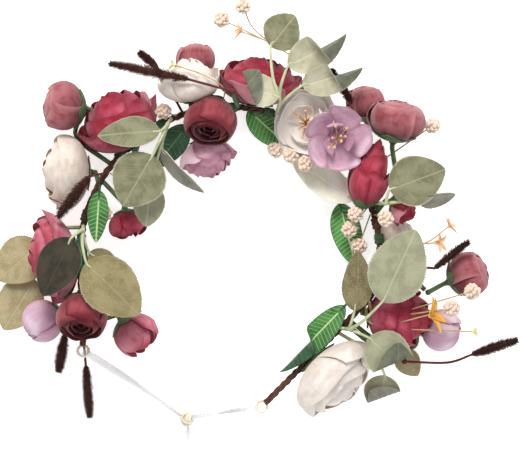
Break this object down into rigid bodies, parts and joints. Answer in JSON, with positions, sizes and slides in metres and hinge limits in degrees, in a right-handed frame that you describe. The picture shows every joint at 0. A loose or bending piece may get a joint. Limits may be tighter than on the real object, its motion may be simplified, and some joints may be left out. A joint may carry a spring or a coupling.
{
  "type": "flower crown",
  "caption": "Open horseshoe crown of twig wire dressed with fabric roses, buds, tulips, eucalyptus leaves, spikes and foam berries, tied at the back with sheer ribbon.",
  "frame": {"origin": "centre of the head opening, on the plane the crown lies on", "axes": "+Z up through the head opening as worn; +Y towards the wearer's forehead, with the ribbon-tied gap at -Y; +X to the right seen from above with +Y up"},
  "size_m": [0.3309, 0.3531, 0.0634],
  "materials": {
    "twig_paper": "matte",
    "floral_tape": "matte",
    "green_stem": "matte",
    "red_petal": "matte",
    "burgundy_petal": "matte",
    "cream_petal": "matte",
    "lilac_petal": "matte",
    "sage_leaf": "matte",
    "pale_leaf": "matte",
    "green_leaf": "satin",
    "spike_brown": "matte",
    "berry_cream": "matte",
    "organza": "satin"
  },
  "bodies": {
    "front_frame": {"front_twig_wire": "twig_paper", "front_floral_tape": "floral_tape", "front_bloom_stems": "green_stem", "red_rose_1": "red_petal", "red_rose_2": "red_petal", "red_rosebud": "red_petal", "small_red_tulip_1": "red_petal", "small_red_tulip_2": "red_petal", "cream_rose_1": "cream_petal", "cream_rose_2": "cream_petal", "cream_rose_3": "cream_petal", "burgundy_bud_1": "burgundy_petal", "burgundy_bud_2": "burgundy_petal", "burgundy_bud_3": "burgundy_petal", "burgundy_bud_4": "burgundy_petal", "burgundy_bud_5": "burgundy_petal", "lilac_tulip_1": "lilac_petal", "lilac_tulip_2": "lilac_petal", "left_sprig": "sage_leaf", "top_sprig": "sage_leaf", "right_sprig": "sage_leaf", "front_green_leaves": "green_leaf", "front_berries": "berry_cream", "front_short_spikes": "spike_brown", "ribbon_knot": "organza", "ribbon_tails": "organza"},
    "top_seed_sprig": {"top_seed_sprig": "berry_cream"},
    "top_spike": {"top_spike": "spike_brown"},
    "left_arm": {"left_ribbon_tie": "organza", "left_twig_wire": "twig_paper", "left_floral_tape": "floral_tape", "left_bloom_stems": "green_stem", "red_rose_3": "red_petal", "lilac_tulip_3": "lilac_petal", "burgundy_bud_6": "burgundy_petal", "burgundy_bud_7": "burgundy_petal", "left_arm_sprig": "sage_leaf", "left_pale_leaves": "pale_leaf", "left_green_leaf": "green_leaf", "left_short_spike": "spike_brown", "left_bend_binding": "twig_paper"},
    "left_spike": {"left_spike": "spike_brown"},
    "right_arm": {"right_ribbon_tie": "organza", "right_twig_wire": "twig_paper", "right_floral_tape": "floral_tape", "right_bloom_stems": "green_stem", "cream_rose_4": "cream_petal", "red_rose_4": "red_petal", "lilac_tulip_4": "lilac_petal", "cream_rose_5": "cream_petal", "right_arm_sprig": "sage_leaf", "right_low_leaves": "sage_leaf", "right_green_leaf": "green_leaf", "right_seed_sprig": "berry_cream", "right_short_spike": "spike_brown", "right_bend_binding": "twig_paper"},
    "right_spike": {"right_spike": "spike_brown"},
    "right_bud": {"right_bud": "burgundy_petal", "right_bud_stem": "green_stem"}
  },
  "joints": [
    {"name": "right_arm_flex", "type": "hinge", "parent": "front_frame", "child": "right_arm", "pos_m": [0.07524, 0.05466, 0.024], "axis": [0, 0, 1], "range_deg": [-15, 6], "deforming": ["right_ribbon_tie", "right_bend_binding"]},
    {"name": "left_arm_flex", "type": "hinge", "parent": "front_frame", "child": "left_arm", "pos_m": [-0.09231, -0.01133, 0.024], "axis": [0, 0, 1], "range_deg": [-6, 15], "deforming": ["left_ribbon_tie", "left_bend_binding"]},
    {"name": "top_spike_bend", "type": "hinge", "parent": "front_frame", "child": "top_spike", "pos_m": [-0.03784, 0.09365, 0.057], "axis": [0, 0, 1], "range_deg": [-15, 15]},
    {"name": "top_seed_sprig_bend", "type": "hinge", "parent": "front_frame", "child": "top_seed_sprig", "pos_m": [0, 0.128, 0.018], "axis": [0, 0, 1], "range_deg": [-15, 4]},
    {"name": "left_spike_bend", "type": "hinge", "parent": "left_arm", "child": "left_spike", "pos_m": [-0.06545, -0.08082, 0.014], "axis": [0, 0, 1], "range_deg": [-15, 15]},
    {"name": "right_spike_bend", "type": "hinge", "parent": "right_arm", "child": "right_spike", "pos_m": [0.12576, -0.01767, 0.01], "axis": [0, 0, 1], "range_deg": [-15, 15]},
    {"name": "right_bud_bend", "type": "hinge", "parent": "right_arm", "child": "right_bud", "pos_m": [0.12082, 0.02789, 0.035], "axis": [0, 0, 1], "range_deg": [-10, 10]}
  ],
  "couplings": [
    {"joint": "left_arm_flex", "follows": "right_arm_flex", "ratio": -1}
  ]
}
